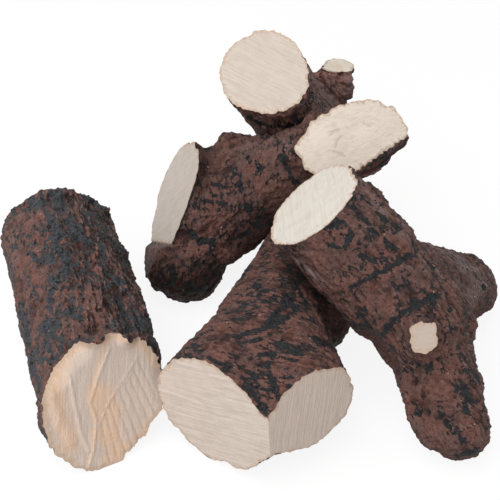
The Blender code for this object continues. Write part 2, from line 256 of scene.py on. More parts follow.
class Sight:
    """The camera's view, for places given by pixels of its frame."""

    def __init__(self):
        settings = bpy.context.scene.logs_studio
        self.right = Vector((1, 0, 0))
        self.up = Vector((0, math.sin(settings.pitch), math.cos(settings.pitch)))
        self.back = self.right.cross(self.up)
        self.place = Vector(settings.target) + self.back * settings.distance
        self.focal = settings.lens / SENSOR_WIDTH * FRAME_SIDE

    def towards(self, x, y):
        across, down = (x - FRAME_SIDE / 2) / self.focal, (y - FRAME_SIDE / 2) / self.focal
        return (self.right * across - self.up * down - self.back).normalized()

    def places(self, surface, pixels, depth=0.0):
        """Places along a line of pixels, on the surface or at a depth behind it."""
        line = [pixels[0]]
        for (x, y), (next_x, next_y) in zip(pixels, pixels[1:]):
            steps = max(1, round(math.hypot(next_x - x, next_y - y) / STROKE_PIXELS))
            line += [(x + (next_x - x) * step / steps, y + (next_y - y) * step / steps)
                     for step in range(1, steps + 1)]
        found = []
        for x, y in line:
            towards = self.towards(x, y)
            hit = surface.ray_cast(self.place, towards)[0]
            if hit is not None:
                found.append(hit + towards * depth)
        return found


def brushed(points, surface, strokes, depth=0.0):
    """Adds up strokes at each point: half width in mm, strength, then x and y of each pixel."""
    sight = Sight()
    total = np.zeros(len(points))
    for width, strength, *pixels in strokes:
        nearest = np.full(len(points), np.inf)
        for place in sight.places(surface, list(zip(pixels[::2], pixels[1::2])), depth):
            nearest = np.minimum(nearest, np.linalg.norm(points - np.array(place), axis=1))
        total += strength * smooth_step(nearest, width * MM, 0)
    return total


def line_in_face(outward, slope):
    """A direction in a face, at a slope above the level line that runs to the viewer's right."""
    across = UP.cross(outward).normalized()
    rising = outward.cross(across)
    slope = math.radians(slope)
    return across * math.cos(slope) + rising * math.sin(slope)


# Casting and sawing

# How far a face may look away from its stated direction, and what still belongs to its plane
FACE_SEARCH = math.radians(7)
SAME_WAY = math.radians(1)
SAME_PLANE = 0.05 * MM

# Bark: how far a side has to face the weather for ridges, and how much of them is left elsewhere
SMOOTH_FACTOR = 0.5
FINE_SMOOTHING = 3
LUMP_SPACING = 11 * MM
RIDGE_SPACING = 4 * MM
CRUMB_SPACING = 2.8 * MM
WEATHERED = (0.1, 0.75)
SHELTERED_RIDGES = 0.15
HIDDEN_SWELL_DEPTH = 12 * MM
SHADED_SMOOTH = math.radians(50)

# The slabs that saw the faces, and the ragged line at which a face can end
SLAB_GRID = 0.8 * MM
SLAB_THICKNESS = 24 * MM
SLAB_SPREAD = 1.2
SLAB_MARGIN = 4 * MM
ROUGH_SPACING = 8 * MM
BULGE_WIDTH = 6 * MM
RAGGED_WAVES = 3e4
RAGGED_HEIGHT = 0.5 * MM
BASE_DEPTH = 20 * MM
BASE_SPREAD = 1.5

# Notes for the paint: painted shade on what looks down, the deepest relief on bark, and how far a cut
# counts
UNDERSIDE = (0.3, -0.7)
UNDERSIDE_SHADE = 0.75
DEEPEST_RELIEF = 3.5 * MM
CUT_REACH = 12 * MM
CUT_SPREAD = 1.3
FAR_FROM_EDGE = 100 * MM


class Face:
    """A flat face of the plain casting, found by the direction that it looks in, and its cut.

    The cut lies in the face's plane, unless lean tips its top outwards, aside tips its right side
    outwards or further moves it out by so many millimetres.
    """

    def __init__(self, mesh, outward, lean=0.0, aside=0.0, further=0.0):
        self.lean, self.aside, self.further = lean, aside, further
        looking = [face for face in mesh.polygons if face.normal.angle(outward) < FACE_SEARCH]
        largest = max(looking, key=lambda face: face.area)
        self.outward = largest.normal.copy()
        self.place = largest.center.copy()
        self.faces = [face.index for face in looking if self.holds(face)]
        corners = [
            mesh.vertices[corner].co for face in self.faces for corner in mesh.polygons[face].vertices]
        low = Vector([min(corner[axis] for corner in corners) for axis in range(3)])
        high = Vector([max(corner[axis] for corner in corners) for axis in range(3)])
        self.middle = (low + high) / 2
        self.middle -= self.outward * (self.middle - self.place).dot(self.outward)
        self.reach = max((corner - self.middle).length for corner in corners)

    def height_of_cut(self, points):
        """How far outside the face's plane the cut lies at each point."""
        rightwards = (points - np.array(self.middle)) @ np.array(line_in_face(self.outward, 0))
        return points[:, 2] * self.lean + rightwards * self.aside + self.further * MM

    def holds(self, face):
        near = abs((face.center - self.place).dot(self.outward)) < SAME_PLANE
        return near and face.normal.angle(self.outward) < SAME_WAY


def plain_casting(node, name):
    """A copy of a casting as one closed mesh."""
    obj = add(name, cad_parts[node].data.copy())
    with editing(obj):
        bpy.ops.mesh.select_all(action="SELECT")
        bpy.ops.mesh.remove_doubles(threshold=WELD)
        bpy.ops.mesh.select_all(action="DESELECT")
    obj.data.materials.clear()
    return obj


def give(obj, paints):
    for paint in paints:
        obj.data.materials.append(paint)


def run_on(obj, outward, overrun):
    """Lengthens the log past a flat face, straight out."""
    face = Face(obj.data, outward)
    with editing(obj, face.faces):
        bpy.ops.mesh.extrude_region_move(TRANSFORM_OT_translate={"value": face.outward * overrun})


def ripples(obj, middle, first, last, spacing, height):
    """Rings of low ridges round a place, which rise and fade between two distances from it."""
    distance = np.linalg.norm(read_points(obj) - np.array(middle), axis=1)
    rising = smooth_step(distance, first, first + spacing)
    strength = rising * smooth_step(distance, last, first + spacing)
    waves = np.sin(distance / spacing * 2 * math.pi)
    push(obj, read_points(obj, "normal"), waves * strength * height)


def sawn_slab(face, paints, lines, height, stretch, depth, slope=0, rough=0.0, strokes=(), wood=SAWN,
              bark_beyond=None, bulge=0.0):
    """A slab that lies against a face's plane, with the saw marks on its near side.

    wood is the number of its paint. Where bark_beyond names two pixels, the face ends on the line
    through them, and the bark past it bulges out by so many millimetres, or falls away where bulge
    is negative.
    """
    side = 2 * (face.reach * SLAB_SPREAD + SLAB_MARGIN)
    steps = int(side / SLAB_GRID)
    bpy.ops.mesh.primitive_grid_add(x_subdivisions=steps, y_subdivisions=steps, size=side)
    slab = bpy.context.active_object
    level = Vector((1, 0, 0))
    emboss(slab, lines * MM, height * MM, level, stretch, depth=depth, way="Z")
    if rough:
        emboss(slab, ROUGH_SPACING, rough * MM, level, stretch=2, hard=True, depth=3, way="Z")
    across = line_in_face(face.outward, slope)
    turned = Matrix((across, face.outward.cross(across), face.outward)).transposed().to_4x4()
    slab.data.transform(Matrix.Translation(face.middle) @ turned)
    give(slab, paints)
    plane = surface_of(slab)
    points = read_points(slab)
    heights = brushed(points, plane, strokes) * MM + face.height_of_cut(points)
    paint_index = np.full(len(slab.data.polygons), wood, np.int32)
    if bark_beyond is not None:
        first, last = (Sight().places(plane, [pixel])[0] for pixel in bark_beyond)
        beyond = (last - first).cross(face.outward).normalized()
        past_line = (points - np.array(first)) @ np.array(beyond)
        heights += smooth_step(past_line, 0, BULGE_WIDTH) * bulge * MM
        centres = np.array([polygon.center for polygon in slab.data.polygons])
        ragged = np.sin(centres @ np.array(last - first) * RAGGED_WAVES) * RAGGED_HEIGHT
        paint_index[(centres - np.array(first)) @ np.array(beyond) + ragged > 0] = BARK
    slab.data.polygons.foreach_set("material_index", paint_index)
    push(slab, face.outward, heights)
    with editing(slab, range(len(slab.data.polygons))):
        bpy.ops.mesh.extrude_region_move(TRANSFORM_OT_translate={"value": face.outward * SLAB_THICKNESS})
        bpy.ops.mesh.select_all(action="SELECT")
        bpy.ops.mesh.normals_make_consistent(inside=False)
    return slab


def cut(obj, slab):
    apply_modifier(obj, "BOOLEAN", operation="DIFFERENCE", solver="MANIFOLD", object=slab)
    remove(slab)


def cut_level_base(obj, paints):
    """Cuts the log flat on the hearth. The cut is painted as bark."""
    points = read_points(obj)
    low, high = points.min(0), points.max(0)
    bpy.ops.mesh.primitive_cube_add(size=1)
    slab = bpy.context.active_object
    slab.data.transform(Matrix.Diagonal((*((high - low) * BASE_SPREAD)[:2], BASE_DEPTH, 1)))
    slab.data.transform(Matrix.Translation((*((low + high) / 2)[:2], -BASE_DEPTH / 2)))
    give(slab, paints)
    cut(obj, slab)


def note(obj, name, values):
    attribute = obj.data.attributes.new(name, "FLOAT", "POINT")
    attribute.data.foreach_set("value", np.asarray(values, np.float32))


def note_relief(obj, base, faces, sawn):
    """Notes how far each point stands above the smooth log, or above the plane of the cut it lies in."""
    points = read_points(obj)
    relief = np.zeros(len(points))
    for index, point in enumerate(points):
        place, normal = base.find_nearest(point)[:2]
        relief[index] = (Vector(point) - place).dot(normal)
    relief[np.abs(relief) > DEEPEST_RELIEF] = 0
    closest = np.where(sawn, CUT_REACH, 0)
    for face in faces:
        depth = (points - np.array(face.place)) @ np.array(face.outward) - face.height_of_cut(points)
        inside = np.linalg.norm(points - np.array(face.middle), axis=1) < face.reach * CUT_SPREAD
        near = inside & (np.abs(depth) < closest)
        relief[near] = depth[near]
        closest[near] = np.abs(depth[near])
    note(obj, "relief", relief / MM)


def note_edge(obj, edge):
    """Notes how far each point lies from the points on a cut's edge."""
    points = read_points(obj)
    distance = np.full(len(points), FAR_FROM_EDGE)
    if len(edge):
        tree = KDTree(len(edge))
        for index, point in enumerate(edge):
            tree.insert(points[point], index)
        tree.balance()
        distance = np.array([tree.find(point)[2] for point in points])
    note(obj, "edge_distance", distance / MM)


def note_surface(obj, base, faces, ridge_side, painted_shade, **brushed_marks):
    """Attributes for the paint, point by point."""
    mesh = obj.data
    sawn = np.zeros(len(mesh.vertices), bool)
    bark = np.zeros(len(mesh.vertices), bool)
    for polygon in mesh.polygons:
        target = bark if polygon.material_index == BARK else sawn
        target[list(polygon.vertices)] = True
    note_relief(obj, base, faces, sawn)
    note_edge(obj, np.flatnonzero(sawn & bark))
    points = read_points(obj)
    surface = surface_of(obj)
    for name, strokes in brushed_marks.items():
        note(obj, name, brushed(points, surface, strokes))
    # painted_shade: painted shade on what looks down, and on the places that its strokes mark
    underside = smooth_step(read_points(obj, "normal")[:, 2], *UNDERSIDE) * UNDERSIDE_SHADE
    note(obj, "painted_shade", np.maximum(underside, np.minimum(brushed(points, surface, painted_shade), 1)))
    # streaked: how far each point faces the weathered side, where the paint lays painted highlights and
    # painted shade along the grain
    note(obj, "streaked", weathered(obj, ridge_side))


def weathered(obj, ridge_side):
    """How far each point faces the log's weathered side, from 0 to 1."""
    if ridge_side is None:
        return np.zeros(len(obj.data.vertices))
    facing = read_points(obj, "normal") @ np.array(direction(*ridge_side))
    return smooth_step(facing, *WEATHERED)


def cast_log(node, name, grain, cuts, paints, ridges=1.0, ridge_side=None, swells=(), hidden_swells=(),
             rings=None, charred=(), tanned=(), painted_shade=(), dusted=()):
    """One finished log. cuts is a list of (way, tilt, saw marks), and paints its bark and sawn paint."""
    casting = bpy.context.scene.logs_casting
    obj = plain_casting(node, name)
    plain = surface_of(obj)
    faces = [Face(obj.data, direction(*way), **tilt) for way, tilt, _ in cuts]
    for face in faces:
        run_on(obj, face.outward, casting.overrun)
    run_on(obj, -UP, casting.overrun / 2)
    give(obj, paints)
    apply_modifier(obj, "REMESH", mode="VOXEL", voxel_size=casting.rough_grid)
    apply_modifier(obj, "SMOOTH", factor=SMOOTH_FACTOR, iterations=casting.smoothing)
    apply_modifier(obj, "REMESH", mode="VOXEL", voxel_size=casting.fine_grid, use_smooth_shade=True)
    apply_modifier(obj, "SMOOTH", factor=SMOOTH_FACTOR, iterations=FINE_SMOOTHING)
    for strokes, depth in ((swells, 0), (hidden_swells, HIDDEN_SWELL_DEPTH)):
        heights = brushed(read_points(obj), plain, strokes, depth)
        push(obj, read_points(obj, "normal"), heights * MM)
    base = surface_of(obj)
    along = direction(*grain)
    if rings is not None:
        ripples(obj, **rings)
    emboss(obj, LUMP_SPACING, casting.lump_height, along, stretch=1.5, middle=0.55)
    group = ""
    if ridge_side is not None:
        group = "ridged"
        weigh(obj, group, SHELTERED_RIDGES + (1 - SHELTERED_RIDGES) * weathered(obj, ridge_side))
    height = casting.ridge_height * ridges
    emboss(obj, RIDGE_SPACING, height, along, stretch=7, hard=True, group=group, middle=0.6)
    emboss(obj, CRUMB_SPACING, casting.crumb_height, along, stretch=1.3, depth=3, middle=0.52)
    for face, (_, _, marks) in zip(faces, cuts):
        cut(obj, sawn_slab(face, paints, **marks))
    cut_level_base(obj, paints)
    note_surface(obj, base, faces, ridge_side, painted_shade, charred=charred, tanned=tanned, dusted=dusted)
    obj.vertex_groups.clear()
    select_only(obj)
    bpy.ops.object.shade_smooth_by_angle(angle=SHADED_SMOOTH)
    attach(obj, "root")
    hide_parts(node)
    return obj


# Paint

class Nodes:
    """The shader nodes of a material or a world, made one at a time."""

    def __init__(self, owner):
        owner.use_nodes = True
        self.nodes = owner.node_tree.nodes
        self.links = owner.node_tree.links

    def feed(self, socket, value):
        if isinstance(value, bpy.types.NodeSocket):
            self.links.new(value, socket)
        else:
            socket.default_value = value

    def fill(self, node, **inputs):
        for key, value in inputs.items():
            self.feed(node.inputs[key.replace("_", " ")], value)
        return node

    def node(self, kind, settings=None, **inputs):
        made = self.nodes.new(kind)
        for key, value in (settings or {}).items():
            setattr(made, key, value)
        return self.fill(made, **inputs)

    def joined(self, kind, settings, *values):
        """A node whose sockets have no names of their own, fed in their order."""
        made = self.node(kind, settings)
        for socket, value in zip(made.inputs, values):
            self.feed(socket, value)
        return made.outputs[0]

    def math(self, operation, *values):
        return self.joined("ShaderNodeMath", {"operation": operation}, *values)

    plus = partialmethod(math, "ADD")
    minus = partialmethod(math, "SUBTRACT")
    times = partialmethod(math, "MULTIPLY")
    most = partialmethod(math, "MAXIMUM")

    def vector(self, operation, *values):
        return self.joined("ShaderNodeVectorMath", {"operation": operation}, *values)

    def scaled(self, vector, scale):
        made = self.node("ShaderNodeVectorMath", {"operation": "SCALE"}, Scale=scale)
        self.feed(made.inputs[0], vector)
        return made.outputs[0]

    def show(self, share, first, second):
        """Sends the output a mix of two shaders, with a share of the second."""
        output = next(node for node in self.nodes if node.bl_idname.startswith("ShaderNodeOutput"))
        mixed = self.joined("ShaderNodeMixShader", {}, share, first.outputs[0], second.outputs[0])
        self.feed(output.inputs["Surface"], mixed)

    def seen_rays(self):
        """1 for a ray that shows the background: from the camera, off gloss or through glass."""
        path = self.node("ShaderNodeLightPath").outputs
        seen = self.most(path["Is Camera Ray"], path["Is Glossy Ray"])
        return self.most(seen, path["Is Transmission Ray"])


class Paint(Nodes):
    """A painted material."""

    def __init__(self, name):
        self.material = bpy.data.materials.new(name)
        super().__init__(self.material)
        self.shader = self.nodes["Principled BSDF"]

    def place(self, along=None, stretch=1.0, start=0.0):
        """Object coordinates, turned so that X follows a direction and drawn out along it."""
        place = self.node("ShaderNodeTexCoord").outputs["Object"]
        if along is None:
            return place
        turned = self.node(
            "ShaderNodeMapping", {"vector_type": "TEXTURE"}, Vector=place,
            Location=(start, -start, start / 2), Rotation=along.to_track_quat("X", "Z").to_euler(),
            Scale=(stretch, 1, 1))
        return turned.outputs["Vector"]

    def noise(self, place, size, detail=2.0, roughness=0.5, output="Fac"):
        made = self.node(
            "ShaderNodeTexNoise", Vector=place, Scale=1 / size, Detail=detail, Roughness=roughness)
        return made.outputs[output]

    def dots(self, place, spacing, low, high, strength):
        """Small round dots, which fade out between two shares of their spacing."""
        made = self.node("ShaderNodeTexVoronoi", {"feature": "F1"}, Vector=place, Scale=1 / spacing)
        return self.step(made.outputs["Distance"], low, high, strength, 0)

    def step(self, value, low, high, out_low=0.0, out_high=1.0):
        """A smooth rise from out_low to out_high as the value goes from low to high."""
        return self.joined(
            "ShaderNodeMapRange", {"interpolation_type": "SMOOTHSTEP"}, value, low, high, out_low, out_high)

    def mix(self, share, first, second):
        made = self.node("ShaderNodeMix", {"data_type": "RGBA"}, Factor=share)
        self.feed(made.inputs[6], first)
        self.feed(made.inputs[7], second)
        return made.outputs[2]

    def layered(self, colour, *layers):
        """A colour with others laid over it in turn, each as (share, colour)."""
        for share, over in layers:
            colour = self.mix(share, colour, over)
        return colour

    def attribute(self, name):
        return self.node("ShaderNodeAttribute", {"attribute_name": name}).outputs["Fac"]

    def warped(self, place, size, reach):
        """The place, pushed about by a slow noise, so that patches get wandering outlines."""
        shift = self.vector("SUBTRACT", self.noise(place, size, 2, 0.5, output="Color"), (0.5, 0.5, 0.5))
        return self.vector("ADD", place, self.scaled(shift, reach))

    def finish(self, colour, roughness, gloss, height, depth):
        """Feeds the shader its colour, sheen and bumps of so many metres."""
        bump = self.node("ShaderNodeBump", Height=height, Distance=depth, Strength=1.0).outputs["Normal"]
        self.fill(
            self.shader, Base_Color=colour, Roughness=roughness, Specular_IOR_Level=gloss, Normal=bump)
        return self.material


class BarkPaint(Paint):
    """The bark's paint, with the places and marks that its layers share."""

    def __init__(self, name, grain, stretch, start):
        super().__init__(name)
        self.settings = bpy.context.scene.logs_bark
        along = direction(*grain)
        self.plain = self.place()
        self.patchy = self.place(along, stretch, start)
        self.pitted = self.place(along, 2.2, start)
        self.drawn = self.place(along, 7, start)
        self.strokes = self.attribute("charred")
        self.painted_shade = self.attribute("painted_shade")
        self.streaked = self.attribute("streaked")
        self.fine = self.noise(self.drawn, 1.5 * MM, 4, 0.65)
        self.grit = self.noise(self.plain, 1.3 * MM, 3, 0.6)

    def browns(self, brown, dust):
        """Red-brown in patches, with painted shade in the hollows, paler over the crests and marked places.
        """
        settings = self.settings
        fine, relief = self.fine, self.attribute("relief")
        tone = self.noise(self.plain, 13 * MM, 4, 0.6)
        worn = self.noise(self.plain, 3 * MM, 4, 0.7)
        colour = self.layered(
            settings.warm,
            (self.step(tone, 0.42, 0.6), settings.dull),
            (self.step(worn, 0.46, 0.7, 0, 0.4), settings.dusty),
            (self.step(worn, 0.5, 0.3, 0, 0.4), settings.hollow))
        weathered = self.step(self.streaked, 0, 1, 0.2, 0.95)
        crests = self.times(self.step(relief, 0, 1), self.step(fine, 0.5, 0.4))
        dusted = self.times(self.attribute("dusted"), self.step(fine, 0.56, 0.4, 0.2, 0.9))
        # pale lines along the grain on the weathered side: painted highlights on its ridges
        highlight_lines = self.times(self.step(fine, 0.47, 0.39), self.streaked)
        return self.layered(
            self.scaled(colour, brown),
            # painted shade in the creases of the grain on the weathered side
            (self.times(self.step(fine, 0.5, 0.6), weathered), settings.hollow),
            (self.step(self.grit, 0.6, 0.65, 0, 0.7), settings.hollow),
            # painted shade where the bark sinks below the smooth log
            (self.step(relief, -1.9, -0.5, 0.8, 0), settings.hollow),
            (self.times(crests, dust), settings.dusty),
            # pale where marked: dust, and painted light on sides that the lamps leave dim
            (dusted, settings.pale),
            # painted highlights along the weathered side
            (self.times(highlight_lines, 0.9), settings.pale),
            # painted shade on what looks down and in marked places
            (self.painted_shade, settings.hollow))

    def charred(self, cover, streaks, bold):
        """How charred each place is: winding lines, patches, flecks and streaks, with small holes."""
        lift = self.math("MULTIPLY_ADD", self.strokes, 0.16, (cover - 0.5) * 0.3)
        cluster = self.noise(self.plain, 24 * MM, 2, 0.5)
        lift = self.plus(lift, self.step(cluster, 0.35, 0.65, -0.05, 0.05))
        wander = self.warped(self.patchy, 4 * MM, 3 * MM)
        bend = self.math("ABSOLUTE", self.minus(self.noise(wander, 7 * MM, 3, 0.55), 0.5))
        bend = self.minus(bend, self.times(lift, 0.25))
        parts = self.plus(self.noise(self.patchy, 5.5 * MM, 2, 0.5), lift)
        charred = self.times(self.step(bend, 0.036, 0.019), self.step(parts, 0.51, 0.53))
        bolder = self.times(self.strokes, bold)
        patches = self.plus(self.noise(wander, self.settings.patch_size, 2, 0.5), lift)
        flecks = self.plus(self.noise(self.patchy, self.settings.fleck_size, 1, 0.5), lift)
        lines = self.noise(self.warped(self.drawn, 8 * MM, 2.5 * MM), 2.8 * MM, 3, 0.6)
        rarity = 0.72 - 0.1 * streaks
        for marks, low, high in (
                (self.plus(patches, bolder), 0.59, 0.63),
                (self.minus(flecks, bolder), 0.64, 0.67),
                (self.plus(lines, lift), rarity, rarity + 0.03)):
            charred = self.most(charred, self.step(marks, low, high))
        holes = self.noise(self.plain, 1.5 * MM, 3, 0.65)
        return self.times(charred, self.step(holes, 0.70, 0.61))

    def ashes(self, ash, ash_tone):
        """The colour of the char: black, and ash with lighter specks inside a patch, the specks partly
        painted sheen.
        """
        ash_blue = Vector(self.settings.ash[:3]) * ash_tone
        ash_highlight = ash_blue * 1.9
        mottle = self.noise(self.plain, 2 * MM, 3, 0.65)
        # where painted shade lies, a charred patch stays black instead of ash-blue
        inside = self.times(self.step(mottle, 0.34, 0.52, 0, ash), self.step(self.painted_shade, 0, 0.8, 1, 0))
        # lighter specks in the ash: mottling, and partly painted sheen
        specks = self.step(self.grit, 0.5, 0.36, 0, 0.8)
        return self.mix(inside, self.settings.soot_and_shade, self.mix(specks, (*ash_blue, 1), (*ash_highlight, 1)))

    def pockets(self, gaps):
        """Black pockets in the weathered side: painted shade."""
        pockets = self.noise(self.warped(self.pitted, 6 * MM, 3 * MM), 3.4 * MM, 3, 0.6)
        return self.times(self.step(pockets, 0.53, 0.6), self.times(self.streaked, gaps))


def bark_paint(name, grain, stretch, start, cover, ash, streaks, brown, dust=0.5, ash_tone=1.0,
               gaps=0.3, bold=0.0):
    """Red-brown bark with charred patches, black at the rim and ash-blue inside, and painted shade in its
    hollows.

    stretch draws the patches out along the grain, and start moves them along it. cover is how much
    is charred, ash how blue the patches are inside, streaks how many charred lines there are, and
    dust how much is brushed over the crests. brown and ash_tone lighten the browns and the ash.
    gaps is how much of the weathered side sinks in black pockets of painted shade, and bold joins
    the brushed marks up into larger patches.
    """
    paint = BarkPaint(name, grain, stretch, start)
    charred = paint.charred(cover, streaks, bold)
    pockets = paint.pockets(gaps)
    colour = paint.layered(
        paint.browns(brown, dust),
        (charred, paint.ashes(ash, ash_tone)),
        # black pockets of painted shade on the weathered side
        (pockets, paint.settings.soot_and_shade),
        (paint.dots(paint.plain, 9 * MM, 0.04, 0.055, 1), paint.settings.speck))
    height = paint.noise(paint.plain, 1.6 * MM, 4, 0.65)
    for marks, depth in ((charred, 0.35), (paint.fine, 0.7), (pockets, 0.6)):
        height = paint.minus(height, paint.times(marks, depth))
    roughness = paint.step(charred, 0, 1, paint.settings.roughness, 0.5)
    return paint.finish(colour, roughness, 0.22, height, 2 * MM)


def sawn_paint(name, way, slope, cream=None, clouding=0.2, lined=0.2, rim_width=None):
    """Cream sawn wood: darker in saw marks, painted shade where sunk, tan at the edge and where brushed,
    pores.

    way is the (turn, rise) of the face, and slope that of the lines in it. cream, where given, is set
    face by face to how light and warm the face looks, so it holds painted light on lit faces and
    painted shade on faces in shade, along with the face's own tone.
    """
    settings = bpy.context.scene.logs_sawn
    paint = Paint(name)
    plain = paint.place()
    drawn = paint.place(line_in_face(direction(*way), slope), 14)
    lines = paint.noise(drawn, 0.9 * MM, 2, 0.6)
    cloud = paint.noise(plain, 9 * MM, 3, 0.6)
    streaky = paint.step(paint.noise(drawn, 3 * MM, 3, 0.6), 0.35, 0.6, 0.9, 0.6)
    tanned = paint.times(paint.attribute("tanned"), streaky)
    ragged = paint.step(paint.noise(plain, 2.5 * MM, 3, 0.6), 0.3, 0.7, -0.9, 1.4)
    edge = paint.plus(paint.attribute("edge_distance"), ragged)
    width = (rim_width or settings.rim_width) / MM
    colour = paint.layered(
        (*(cream or settings.cream[:3]), 1),
        # painted shade where the face sinks below its cut: in pits and along the saw marks' dips
        (paint.step(paint.attribute("relief"), -0.3, 0.12, 0.6, 0), settings.shade),
        (paint.step(lines, 0.48, 0.64, 0, lined), settings.shade),
        (paint.step(cloud, 0.42, 0.7, 0, clouding), settings.shade),
        (paint.step(tanned, 0, 1, 0, 0.85), settings.tan),
        (paint.step(edge, 0.3 * width, 1.4 * width, 0.8, 0), settings.rim),
        (paint.dots(plain, 14 * MM, 0.025, 0.045, 0.6), settings.pore))
    height = paint.minus(paint.noise(plain, 0.9 * MM, 3, 0.6), lines)
    return paint.finish(colour, settings.roughness, 0.3, height, 0.35 * MM)


# Where the sawn faces look: the compass turn and the rise above the hearth, in degrees

LEFT_SPLIT = (-62, 25)
LEFT_BACK = (108, 1)
FRONT_SAWN = (-124.5, 3)
FRONT_STUB = (-57, 8.5)
FRONT_BACK = (73, -3.5)
BACK_SAWN = (-76, 39)
BACK_STUB = (-176, 24.5)
TOP_SAWN = (-105, 48)
TOP_STUB = (0, 87)
RIGHT_SAWN = (174, 49.5)
RIGHT_KNOT = (-80, 36)

# Saw marks: line spacing and height in mm, how far a line runs against its spacing, and its detail

SAW_LINES = {"lines": 1.2, "height": 0.55, "stretch": 40, "depth": 1}
FAINT_LINES = {"lines": 1.6, "height": 0.35, "stretch": 20, "depth": 1}
SPLIT_WOOD = {"lines": 1.3, "height": 0.7, "stretch": 14, "depth": 2, "rough": 0.5}
PITTED = {"lines": 2.2, "height": 0.45, "stretch": 2, "depth": 2}

# Where the back log's faces end in bark, and how many mm that bark stands out
BACK_LOWER_EDGE = {"bark_beyond": ((352, 174), (412, 133)), "bulge": -5}
BACK_STUB_LOWER_EDGE = {"bark_beyond": ((150, 241), (175, 243)), "bulge": 4}

# Rings in the bark round the right log's knot
KNOT_RINGS = {"first": 9 * MM, "last": 20 * MM, "spacing": 3.4 * MM, "height": 0.5 * MM}

# Marks in their places: half width in mm, strength or height in mm, then x and y of each pixel on the way

SPLIT_RIDGES = (
    (8, 7, 87, 333), (7, 6, 123, 335), (6, 5, 95, 333), (12, -5.5, 48, 372, 57, 353, 70, 344),
    (5, 1, 55, 362, 49, 390, 58, 419, 72, 440), (1.8, 0.9, 66, 372, 72, 400, 80, 432, 88, 450),
    (1.4, 0.9, 106, 344, 96, 371, 88, 400, 95, 419, 93, 448, 88, 467),
    (0.8, 0.8, 134, 354, 115, 386, 107, 400, 98, 424), (1, -0.8, 100, 418, 110, 462),
    (1, -0.8, 104, 408, 118, 458), (1, -0.8, 108, 402, 126, 453), (1, -0.8, 113, 395, 133, 447),
    (1, -0.8, 118, 388, 139, 440), (1, -0.8, 123, 382, 145, 432), (1, -0.8, 128, 376, 150, 423),
    (1, -0.8, 132, 368, 154, 412), (1, -0.7, 137, 360, 157, 400),
)
# Pits in the back face, darkened by the sawn paint's painted shade
BACK_PITS = (
    (1.4, -0.4, 330, 136, 333, 132, 339, 130), (1.3, -0.45, 341, 137, 337, 141, 336, 147),
    (1.4, -0.4, 334, 152, 340, 153, 344, 156), (1.1, -0.35, 364, 123, 371, 127), (9, 0.4, 322, 140),
    (9, 0.4, 365, 138),
)

LEFT_MARKS = {
    "charred": (
        (4, 1, 29, 197, 41, 207, 57, 228, 55, 243, 69, 264, 59, 279, 48, 298, 48, 325),
        (5, 1, 57, 193, 63, 212, 76, 228, 88, 243), (4, 1, 99, 233, 103, 256, 107, 272, 120, 283),
        (4, 1, 115, 295, 122, 314, 126, 331), (4, 0.9, 19, 302, 25, 325, 32, 352, 38, 386),
        (3, 1, 71, 298, 73, 314, 82, 318), (3, 1, 84, 272, 97, 275), (3, 0.8, 29, 253, 46, 262),
        (3, 1, 80, 193, 92, 202, 104, 208), (3, 0.8, 36, 285, 32, 291, 40, 300),
        (10, -1.2, 22, 222, 38, 217), (9, -1.2, 70, 198, 82, 205), (6, -0.8, 14, 256, 37, 273),
        (8, -0.9, 95, 290, 92, 300), (9, -0.9, 107, 314, 92, 327, 70, 332), (6, -0.6, 140, 335),
    ),
    "swells": (
        (4, -1.6, 91, 206, 96, 201), (5, 2.5, 106, 210), (5, 1.2, 57, 190, 66, 190),
        (8, -2.5, 80, 191, 92, 198), (8, -2, 10, 215, 20, 203),
        (12, 3.5, 122, 245, 131, 280, 143, 320, 150, 345), (5, -2.4, 96, 312, 98, 342),
        (5, -3, 122, 296, 130, 322, 135, 344), (4, 1, 113, 318, 117, 338),
        (10, 1, 140, 300, 150, 335, 154, 352), (10, -2.5, 18, 290, 28, 350, 38, 400),
        (10, -4.5, 154, 422, 142, 440, 127, 450),
    ),
    "hidden_swells": ((12, 2.5, 47, 425, 56, 448), (9, 8, 60, 458, 68, 465),),
    "dusted": ((8, 0.4, 24, 215, 12, 240, 14, 270), (7, 0.4, 72, 201), (6, 0.4, 60, 340, 48, 360),),
    "tanned": (
        (11, 1.2, 60, 362, 53, 382, 56, 405, 62, 425, 70, 445),
        (3.5, 1, 105, 343, 97, 371, 90, 400, 95, 419), (2.5, 0.9, 95, 430, 91, 448, 88, 467),
        (13, 1.2, 102, 395, 110, 410, 108, 432), (9, 0.9, 112, 440, 120, 452),
        (6, 0.9, 105, 460, 135, 443, 150, 420), (6, 0.9, 112, 337, 122, 337, 140, 344, 154, 362),
        (7, 0.9, 66, 352, 85, 344),
    ),
}

FRONT_MARKS = {
    "charred": (
        (3, 1.1, 236, 336, 255, 331, 275, 324, 287, 318), (2.5, 1.1, 240, 344, 262, 338, 273, 333),
        (3.5, 0.9, 304, 270, 294, 290, 282, 308, 264, 328), (2.5, 1.4, 268, 364, 272, 380, 278, 396),
        (3, 0.9, 250, 372, 258, 384), (3, 0.8, 254, 396, 262, 405), (1.5, 1, 240, 276, 268, 271),
        (1.5, 1, 245, 284, 275, 291), (3, 0.9, 285, 295, 297, 310, 284, 318),
        (6, 0.9, 315, 341, 335, 345, 345, 352), (2, 0.5, 290, 352, 310, 350, 330, 352),
        (3, 0.8, 210, 357, 227, 368), (3, 0.8, 290, 280, 305, 300), (6, -0.8, 292, 337),
        (6, -0.8, 303, 365), (6, -0.5, 225, 345),
    ),
    # painted_shade: painted shade down the log's dark right side
    "painted_shade": ((16, 0.75, 292, 265, 312, 290, 330, 312, 340, 345),),
    "hidden_swells": (
        (8, -2.5, 350, 382, 349, 398, 340, 415), (8, -2, 324, 430, 305, 442),
        (8, 3.5, 284, 455, 266, 465),
    ),
    "swells": (
        (18, 7.5, 338, 305, 338, 325), (9, 5.5, 336, 344), (9, -4.5, 178, 432, 200, 452, 225, 463),
        (13, -2.8, 263, 403, 264, 412),
    ),
}

